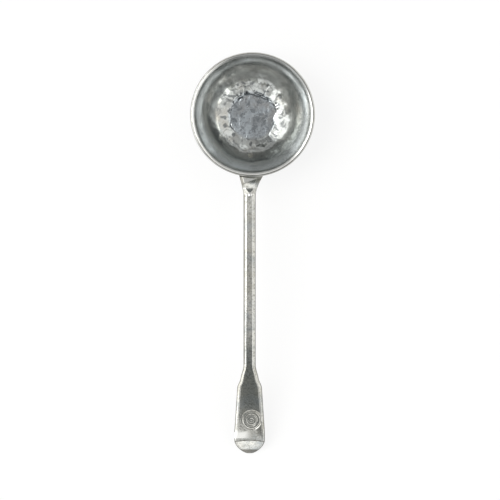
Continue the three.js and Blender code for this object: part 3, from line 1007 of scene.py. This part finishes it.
def pewter(name, bright, warm, cool, stain, soil_and_shade, roughness, patch, mottle, relief, wall=None):
    """Pewter ages in warm and cool patches, with small stains and fine scratches. What stands proud
    is worn bright and smooth, and hollows are soiled; the soil colour also paints shade, and the polish
    colour paints light. Patch and mottle are the widths of patches and stains, relief is the depth of
    stains and scratches, and only the bowl has a wall colour."""
    material = bpy.data.materials.new(name)
    tree = new_tree(material)
    place = add(tree, "ShaderNodeTexCoord").outputs["Object"]
    worn = add(tree, "ShaderNodeAttribute", attribute_name="worn").outputs["Fac"]
    soiled_and_shaded = add(tree, "ShaderNodeAttribute", attribute_name="soiled_and_shaded").outputs["Fac"]

    patches = add(tree, "ShaderNodeTexNoise", {
        "Vector": place, "Scale": 1 / patch, "Detail": 4.0, "Roughness": 0.55,
    }).outputs["Fac"]
    age = add(tree, "ShaderNodeMapRange", {
        "Value": patches, "From Min": 0.38, "From Max": 0.66,
    }, interpolation_type="SMOOTHSTEP").outputs[0]
    hues = add(tree, "ShaderNodeTexNoise", {
        "Vector": place, "Scale": HUE_SCALE / patch, "Detail": 2.0,
    }).outputs["Fac"]
    hue = add(tree, "ShaderNodeMapRange", {"Value": hues, "From Min": 0.42, "From Max": 0.58}).outputs[0]
    fine = add(tree, "ShaderNodeTexNoise", {
        "Vector": place, "Scale": 1 / mottle, "Detail": 4.0, "Roughness": 0.6,
    }).outputs["Fac"]
    stains = add(tree, "ShaderNodeMapRange", {
        "Value": fine, "From Min": 0.48, "From Max": 0.64, "To Max": 0.8,
    }, interpolation_type="SMOOTHSTEP").outputs[0]
    if wall:
        ring = bowl_share(tree, place, FLOOR_RADIUS, RING_FULL)
        fewer = {0: ring, 1: -RING_STAINS_GONE, 2: 1.0}
        fewer = add(tree, "ShaderNodeMath", fewer, operation="MULTIPLY_ADD").outputs[0]
        stains = add(tree, "ShaderNodeMath", {0: stains, 1: fewer}, operation="MULTIPLY").outputs[0]

    aged = {"Factor": hue, 6: linear(warm), 7: linear(cool)}
    aged = add(tree, "ShaderNodeMix", aged, data_type="RGBA").outputs[2]
    colour = {"Factor": age, 6: linear(bright), 7: aged}
    colour = add(tree, "ShaderNodeMix", colour, data_type="RGBA").outputs[2]
    stained = {"Factor": stains, 6: colour, 7: linear(stain)}
    colour = add(tree, "ShaderNodeMix", stained, data_type="RGBA").outputs[2]
    rough = add(tree, "ShaderNodeMapRange", {
        "Value": age, "To Min": roughness * FRESH_ROUGHNESS, "To Max": roughness * AGED_ROUGHNESS,
    }).outputs[0]
    if wall:
        colour, rough = bowl_finish(tree, place, ring, colour, rough, wall)
    # Polish and soil; these colours also carry painted light and painted shade
    polish_and_light = {"Factor": worn, 6: colour, 7: linear(POLISH_AND_PAINTED_LIGHT)}
    colour = add(tree, "ShaderNodeMix", polish_and_light, data_type="RGBA").outputs[2]
    soil_and_shade_mix = {"Factor": soiled_and_shaded, 6: colour, 7: linear(soil_and_shade)}
    colour = add(tree, "ShaderNodeMix", soil_and_shade_mix, data_type="RGBA").outputs[2]
    smoother = {0: worn, 1: -roughness * WORN_SMOOTHER, 2: rough}
    rough = add(tree, "ShaderNodeMath", smoother, operation="MULTIPLY_ADD").outputs[0]
    if not wall:
        duller = {0: soiled_and_shaded, 1: SOIL_ROUGHNESS, 2: rough}
        rough = add(tree, "ShaderNodeMath", duller, operation="MULTIPLY_ADD").outputs[0]

    cuts = add(tree, "ShaderNodeBump", {
        "Height": scratches_in(tree, place), "Strength": 0.5, "Distance": relief,
    }, invert=True).outputs[0]
    skin = add(tree, "ShaderNodeBump", {
        "Height": fine, "Strength": 1.0, "Distance": relief, "Normal": cuts,
    }).outputs[0]
    metal = add(tree, "ShaderNodeBsdfPrincipled", {
        "Base Color": colour, "Roughness": rough, "Metallic": 1.0, "Normal": skin,
    })
    add(tree, "ShaderNodeOutputMaterial", {"Surface": metal.outputs[0]})
    return material


# Table, light and camera

TABLE_REACH = 20  # from its middle to its edges
TABLE_DROP = 0.05 * MM  # keeps the ladle's base clear of it
WHITE_SHARE = 0.8  # the rest is the table's real shading
WHITE_LEVEL = 1.0

# The room: a lens, the ceiling that darkens away from the ring of light round it, and the walls.
# Each changes its level between two angles, in degrees off straight up. Behind these stand the
# levels before and after the change, and its kind.
LENS = (1, 12, 0.4, 0.65, "LINEAR")
CEILING = (15, 24, 1.0, 0.27, "SMOOTHSTEP")
WALLS = (56, 64, 0.0, 1.0, "SMOOTHSTEP")
DIM_LEVEL = 0.2  # light below this level has the full dim hue
CLEAR_LEVEL = 0.4
DIM_HUE = "#ebf5f8"

# Panels of the room: compass direction (0 is +Y and 90 is +X), half its width, where it begins and
# ends, in degrees off straight up, and its strength
PANELS = (
    (-79, 27, 12, 50, 3.9),
    (-95, 46, 47, 80, 2.0),
    (92, 44, 22, 76, 1.12),
    (-150, 36, 41, 57, 1.05),
    (180, 60, 47, 72, 0.6),
    (180, 40, 72, 88, 1.6),
    (0, 50, 11, 22, 0.92),
    (0, 80, 22, 80, 0.57),
    (0, 45, 65, 82, 1.6),
)
PANEL_SIDES_FADE = 12
PANEL_BEGIN_FADES = 6
PANEL_END_FADES = 4


def make_table():
    """A white table. Camera and mirrored rays see it white, with a share of its real shading, which
    keeps the ladle's soft shadow."""
    material = bpy.data.materials.new("white_table")
    tree = new_tree(material)
    path = add(tree, "ShaderNodeLightPath")
    seen = path.outputs["Is Camera Ray"]
    for ray in ("Is Glossy Ray", "Is Transmission Ray"):
        seen = add(tree, "ShaderNodeMath", {0: seen, 1: path.outputs[ray]}, operation="MAXIMUM").outputs[0]
    share = add(tree, "ShaderNodeMath", {0: seen, 1: WHITE_SHARE}, operation="MULTIPLY").outputs[0]
    matt = add(tree, "ShaderNodeBsdfDiffuse", {"Color": linear("#f4f4f2")}).outputs[0]
    white = {"Color": linear("#ffffff"), "Strength": WHITE_LEVEL}
    white = add(tree, "ShaderNodeEmission", white).outputs[0]
    mixed = add(tree, "ShaderNodeMixShader", {0: share, 1: matt, 2: white}).outputs[0]
    add(tree, "ShaderNodeOutputMaterial", {"Surface": mixed})
    bm = bmesh.new()
    bmesh.ops.create_grid(bm, x_segments=1, y_segments=1, size=TABLE_REACH)
    bmesh.ops.translate(bm, verts=bm.verts, vec=(0, 0, -TABLE_DROP))
    mesh = bpy.data.meshes.new("table")
    bm.to_mesh(mesh)
    bm.free()
    mesh.materials.append(material)
    table = bpy.data.objects.new("table", mesh)
    bpy.context.scene.collection.objects.link(table)


def soft_panel(tree, direction, angle, around, facing, spread, low, high, strength):
    """Adds a soft light panel to the room. Where panels meet, the brighter one counts."""
    flat = add(tree, "ShaderNodeVectorMath", {0: direction, 1: (1, 1, 0)}, operation="MULTIPLY").outputs[0]
    unit = add(tree, "ShaderNodeVectorMath", {0: flat}, operation="NORMALIZE").outputs[0]
    compass = (sin(radians(facing)), cos(radians(facing)), 0)
    towards = add(tree, "ShaderNodeVectorMath", {0: unit, 1: compass}, operation="DOT_PRODUCT")
    sector = add(tree, "ShaderNodeMapRange", {
        "Value": towards.outputs["Value"],
        "From Min": cos(radians(spread + PANEL_SIDES_FADE)), "From Max": cos(radians(spread)),
    }, interpolation_type="SMOOTHSTEP").outputs[0]
    begins = add(tree, "ShaderNodeMapRange", {
        "Value": angle, "To Max": strength,
        "From Min": radians(low), "From Max": radians(low + PANEL_BEGIN_FADES),
    }, interpolation_type="SMOOTHSTEP").outputs[0]
    ends = add(tree, "ShaderNodeMapRange", {
        "Value": angle, "To Min": 1.0, "To Max": 0.0,
        "From Min": radians(high), "From Max": radians(high + PANEL_END_FADES),
    }, interpolation_type="SMOOTHSTEP").outputs[0]
    panel = add(tree, "ShaderNodeMath", {0: sector, 1: begins}, operation="MULTIPLY").outputs[0]
    panel = add(tree, "ShaderNodeMath", {0: panel, 1: ends}, operation="MULTIPLY").outputs[0]
    return add(tree, "ShaderNodeMath", {0: around, 1: panel}, operation="MAXIMUM").outputs[0]


def make_room():
    """A white room with a darker ceiling, where a lens hangs in a ring of light straight overhead."""
    world = bpy.data.worlds.new("studio")
    bpy.context.scene.world = world
    tree = new_tree(world)
    direction = add(tree, "ShaderNodeTexCoord").outputs["Generated"]
    height = add(tree, "ShaderNodeSeparateXYZ", {0: direction}).outputs[2]
    angle = add(tree, "ShaderNodeMath", {0: height}, operation="ARCCOSINE").outputs[0]
    parts = []
    for start, end, before, after, change in (LENS, CEILING, WALLS):
        parts.append(add(tree, "ShaderNodeMapRange", {
            "Value": angle, "To Min": before, "To Max": after,
            "From Min": radians(start), "From Max": radians(end),
        }, interpolation_type=change).outputs[0])
    lens, ceiling, walls = parts
    light = add(tree, "ShaderNodeMath", {0: lens, 1: ceiling}, operation="MULTIPLY").outputs[0]
    light = add(tree, "ShaderNodeMath", {0: light, 1: walls}, operation="MAXIMUM").outputs[0]
    for panel in PANELS:
        light = soft_panel(tree, direction, angle, light, *panel)
    # The darker parts of the room are a little bluer
    lit = {"Value": light, "From Min": DIM_LEVEL, "From Max": CLEAR_LEVEL}
    lit = add(tree, "ShaderNodeMapRange", lit).outputs[0]
    hue = {"Factor": lit, 6: linear(DIM_HUE), 7: linear("#ffffff")}
    hue = add(tree, "ShaderNodeMix", hue, data_type="RGBA").outputs[2]
    background = add(tree, "ShaderNodeBackground", {"Color": hue, "Strength": light}).outputs[0]
    add(tree, "ShaderNodeOutputWorld", {"Surface": background})


def make_camera():
    """The photograph's camera, straight above the table and far away."""
    data = bpy.data.cameras.new("camera")
    data.sensor_width = SENSOR
    data.lens = SENSOR / PHOTO_PIXELS * (CAMERA_HEIGHT - MIDDLE_HEIGHT) / PIXEL
    data.clip_end = 100
    camera = bpy.data.objects.new("camera", data)
    bpy.context.scene.collection.objects.link(camera)
    middle = PHOTO_PIXELS / 2
    camera.location = ((middle - BOWL_PIXEL[0]) * PIXEL, (BOWL_PIXEL[1] - middle) * PIXEL, CAMERA_HEIGHT)
    bpy.context.scene.camera = camera


make_camera()
make_table()
make_room()
bpy.context.scene.view_settings.view_transform = "Standard"

# Pewter, spun and hammered, then only wiped: a dull blue-grey disc and a side of soft, clouded reflections,
# with bright broken mirrors in the dents between them, soil in every crevice, and painted shade on side and
# lip
hammered_pewter = pewter(
    "hammered_pewter", bright="#cfd7dc", warm="#bdbebd", cool="#b0b5b8", stain="#888e92", soil_and_shade="#565a5c",
    roughness=0.2, patch=11 * MM, mottle=3.4 * MM, relief=0.03 * MM, wall="#e4e4e0")

# Pewter band, turned and rubbed by hands: a warm satin with few stains, a brown-grey groove, and painted
# shade on its outer side
band_pewter = pewter(
    "band_pewter", bright="#dcdcd7", warm="#c4c3bc", cool="#bfc2c0", stain="#aeada6", soil_and_shade="#66655f",
    roughness=0.2, patch=9 * MM, mottle=1.5 * MM, relief=0.015 * MM)

# Pewter, cast, filed and polished by hand: long clear reflections, broken by small brown-grey
# stains and thin scratches, with bright creases, painted shade on its edges, and painted light on the
# neck's fillet and the fiddle's face
cast_pewter = pewter(
    "cast_pewter", bright="#d6d5ce", warm="#bab8ae", cool="#b0b4b4", stain="#9b9b94", soil_and_shade="#5b5851",
    roughness=0.2, patch=10 * MM, mottle=1.5 * MM, relief=0.02 * MM)

# Soft solder, run in and wiped while hot: a blurred, finely uneven shine with small patches
soft_solder = pewter(
    "soft_solder", bright="#d6d5cd", warm="#b8b6ac", cool="#aeb0ac", stain="#9b9a92", soil_and_shade="#66655e",
    roughness=0.3, patch=3 * MM, mottle=1.1 * MM, relief=0.04 * MM)

make_bowl(hammered_pewter)
make_rim_band(band_pewter)
make_handle(cast_pewter)
make_pip(cast_pewter)
make_drop(cast_pewter)
make_solder_bead(soft_solder)
